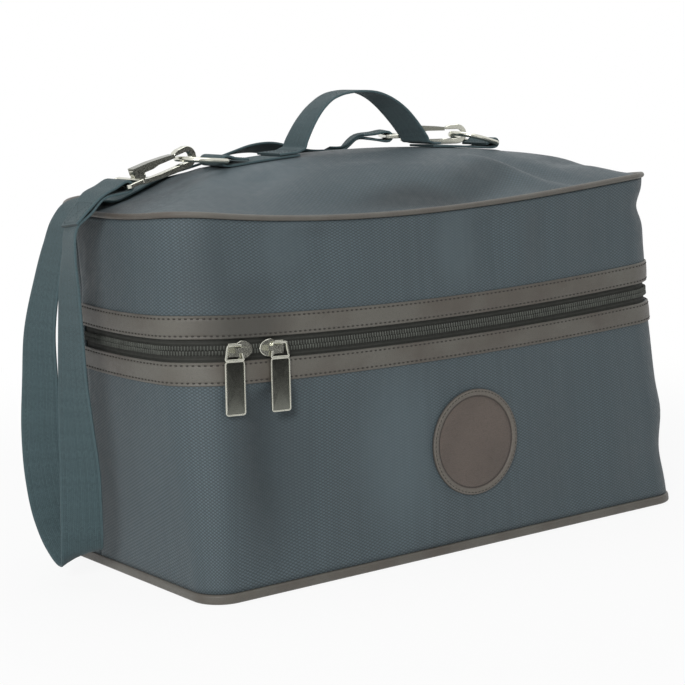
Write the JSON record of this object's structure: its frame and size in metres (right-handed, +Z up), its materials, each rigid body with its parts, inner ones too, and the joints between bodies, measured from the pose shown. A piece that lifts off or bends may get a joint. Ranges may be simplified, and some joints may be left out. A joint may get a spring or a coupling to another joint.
{
  "type": "grooming bag",
  "caption": "Soft box bag with a zip round its front and ends, a domed hinged lid, a webbing carry handle and a clipped shoulder strap.",
  "frame": {"origin": "middle of the flat underside that the bag stands on", "axes": "+X along the bag to its right end, the zip's two sliders and the round patch face -Y, +Z up"},
  "size_m": [0.5106, 0.2124, 0.3444],
  "materials": {
    "coated_fabric": "matt",
    "leatherette": "satin",
    "zip_tape": "matt",
    "zip_coil": "satin",
    "webbing": "matt",
    "lining": "matt",
    "board": "matt",
    "nickel": "bright",
    "dark_nickel": "satin"
  },
  "bodies": {
    "tub": {"base_panel": "leatherette", "base_board": "board", "base_piping": "leatherette", "lower_wall": "coated_fabric", "rear_wall_lower": "coated_fabric", "lower_trim": "leatherette", "lower_zip_tape": "zip_tape", "lower_zip_coil": "zip_coil", "tub_lining": "lining", "round_patch": "leatherette"},
    "lid": {"upper_wall": "coated_fabric", "rear_wall_upper": "coated_fabric", "upper_trim": "leatherette", "upper_zip_tape": "zip_tape", "upper_zip_coil": "zip_coil", "top_piping": "leatherette", "top_panel": "coated_fabric", "lid_lining": "lining", "ring_tab_left": "webbing", "ring_tab_right": "webbing", "carry_handle": "webbing", "shoulder_strap": "webbing", "swivel_eye_left": "nickel", "swivel_eye_right": "nickel"},
    "ring_left": {"d_ring_left": "nickel"},
    "ring_right": {"d_ring_right": "nickel"},
    "hook_left": {"snap_hook_left": "nickel", "gate_pin_left": "dark_nickel"},
    "hook_right": {"snap_hook_right": "nickel", "gate_pin_right": "dark_nickel"},
    "gate_left": {"gate_lever_left": "dark_nickel"},
    "gate_right": {"gate_lever_right": "dark_nickel"},
    "slider_left": {"zip_slider_left": "nickel"},
    "slider_right": {"zip_slider_right": "nickel"},
    "tag_left": {"pull_tag_left": "nickel"},
    "tag_right": {"pull_tag_right": "nickel"}
  },
  "joints": [
    {"name": "lid_hinge", "type": "hinge", "parent": "tub", "child": "lid", "pos_m": [0, 0.09297, 0.176], "axis": [-1, 0, 0], "range_deg": [0, 100], "deforming": ["shoulder_strap"]},
    {"name": "slider_left_travel", "type": "hinge", "parent": "tub", "child": "slider_left", "pos_m": [-0.19061, -0.04943, 0.17101], "axis": [-0.0567, -0.0603, -0.9966], "range_deg": [0, 50]},
    {"name": "slider_right_travel", "type": "hinge", "parent": "tub", "child": "slider_right", "pos_m": [-0.00598, 1.96925, 2.38592], "axis": [-0.0006, -0.7311, 0.6823], "range_deg": [0, 6.33]},
    {"name": "tag_left_swing", "type": "hinge", "parent": "slider_left", "child": "tag_left", "pos_m": [-0.19969, -0.09763, 0.17439], "axis": [-0.0398, -0.9975, 0.0586], "range_deg": [-75, 10]},
    {"name": "tag_right_swing", "type": "hinge", "parent": "slider_right", "child": "tag_right", "pos_m": [-0.16309, -0.09909, 0.17275], "axis": [-0.0349, -0.998, 0.0535], "range_deg": [-10, 75]},
    {"name": "ring_left_swing", "type": "hinge", "parent": "lid", "child": "ring_left", "pos_m": [-0.1463, 0, 0.29718], "axis": [0, 1, 0], "range_deg": [-2, 2]},
    {"name": "ring_right_swing", "type": "hinge", "parent": "lid", "child": "ring_right", "pos_m": [0.1125, 0, 0.29757], "axis": [0, 1, 0], "range_deg": [0, 3]},
    {"name": "hook_left_swivel", "type": "hinge", "parent": "lid", "child": "hook_left", "pos_m": [-0.21207, 0, 0.28902], "axis": [0.9563, 0, 0.2924], "range_deg": [-8, 8]},
    {"name": "hook_right_swivel", "type": "hinge", "parent": "lid", "child": "hook_right", "pos_m": [0.05541, 0.02939, 0.30528], "axis": [0.891, -0.454, 0], "range_deg": [-5, 5]},
    {"name": "gate_left_open", "type": "hinge", "parent": "hook_left", "child": "gate_left", "pos_m": [-0.21273, 0, 0.2929], "axis": [0, 1, 0], "range_deg": [0, 11], "stiffness_Nm_per_rad": 0.05, "springref_deg": -17.19},
    {"name": "gate_right_open", "type": "hinge", "parent": "hook_right", "child": "gate_right", "pos_m": [0.05585, 0.02917, 0.30918], "axis": [0.454, 0.891, 0], "range_deg": [0, 11], "stiffness_Nm_per_rad": 0.05, "springref_deg": -17.19}
  ]
}
